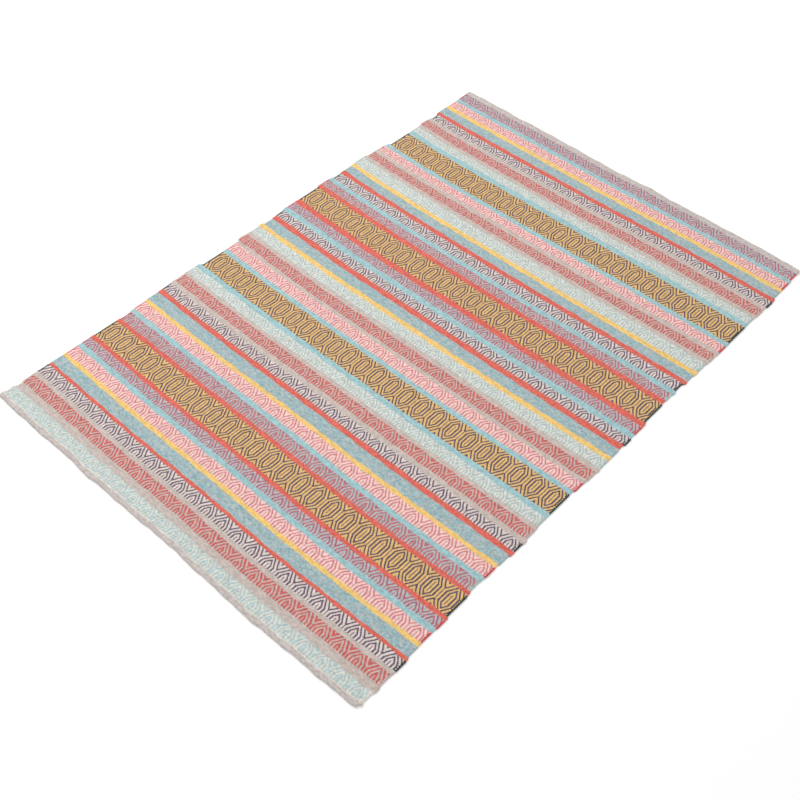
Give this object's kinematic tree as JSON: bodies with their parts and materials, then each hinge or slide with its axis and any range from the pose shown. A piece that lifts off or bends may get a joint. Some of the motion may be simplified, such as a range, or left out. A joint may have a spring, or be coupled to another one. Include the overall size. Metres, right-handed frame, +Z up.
{
  "type": "wool rug",
  "caption": "Flat-woven wool rug with cross stripes and bands of nested hexagons, uneven selvedges and turned hems, made to lie flat on a floor.",
  "frame": {"origin": "centre of the rug's outline, on the floor under it", "axes": "+X across the rug to its right selvedge, +Y along it to its far hem, +Z up"},
  "size_m": [1.212, 1.806, 0.008],
  "materials": {
    "wool": "matt flat-woven wool in cross stripes of taupe, cream, aqua, red, yellow, heather blue, pink, mustard and navy"
  },
  "bodies": {
    "root": {"rug": "wool"}
  },
  "joints": []
}
